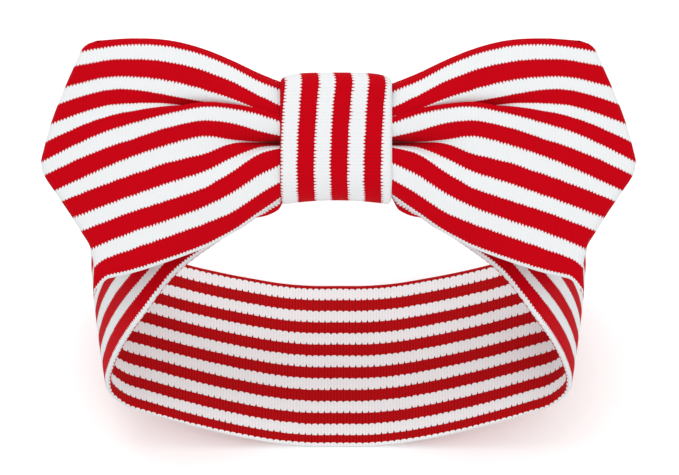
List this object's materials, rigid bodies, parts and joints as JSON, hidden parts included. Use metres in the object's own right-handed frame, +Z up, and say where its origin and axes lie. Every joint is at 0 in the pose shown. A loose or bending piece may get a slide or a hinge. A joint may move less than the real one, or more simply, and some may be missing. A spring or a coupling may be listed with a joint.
{
  "type": "bow headband",
  "caption": "Soft stretch-knit headband, a wide striped loop with a large flat two-wing bow gathered by a striped knot.",
  "frame": {"origin": "centre of the flat patch on the outer face of the band's back, where the standing loop rests", "axes": "+X along the bow, +Y through the head opening from front to rear, +Z up from the rest face to the knot"},
  "size_m": [0.178, 0.0712, 0.1277],
  "materials": {
    "band_jersey": "soft matt rib jersey, red and white stripes",
    "lining_jersey": "soft matt rib jersey, red and white stripes",
    "bow_jersey": "soft matt jersey, red and white stripes",
    "knot_jersey": "soft matt jersey, red and white stripes",
    "thread": "spun polyester sewing thread"
  },
  "bodies": {
    "band_back": {"band_back_outer": "band_jersey", "band_back_lining": "lining_jersey"},
    "bow_core": {"right_arm_outer": "band_jersey", "right_arm_lining": "lining_jersey", "left_arm_outer": "band_jersey", "left_arm_lining": "lining_jersey", "band_join_stitches": "thread", "bow_waist": "bow_jersey", "gathering_thread": "thread", "tack_stitches": "thread", "knot_wrap": "knot_jersey", "knot_closing_stitches": "thread"},
    "left_wing": {"left_wing_front_panel": "bow_jersey", "left_wing_back_panel": "bow_jersey", "left_wing_end_seam": "bow_jersey"},
    "right_wing": {"right_wing_front_panel": "bow_jersey", "right_wing_back_panel": "bow_jersey", "right_wing_end_seam": "bow_jersey"}
  },
  "joints": [
    {"name": "band_stretch", "type": "slide", "parent": "band_back", "child": "bow_core", "axis": [0, 0, 1], "range_m": [0, 0.04], "stiffness_N_per_m": 100},
    {"name": "left_wing_flex", "type": "hinge", "parent": "bow_core", "child": "left_wing", "pos_m": [-0.017, 0, 0.106], "axis": [0, 0.7193, 0.6947], "range_deg": [-10, 30], "stiffness_Nm_per_rad": 0.05, "springref_deg": 1.15},
    {"name": "right_wing_flex", "type": "hinge", "parent": "bow_core", "child": "right_wing", "pos_m": [0.017, 0, 0.106], "axis": [0, -0.7193, -0.6947], "range_deg": [-10, 30], "stiffness_Nm_per_rad": 0.05, "springref_deg": 1.15}
  ]
}
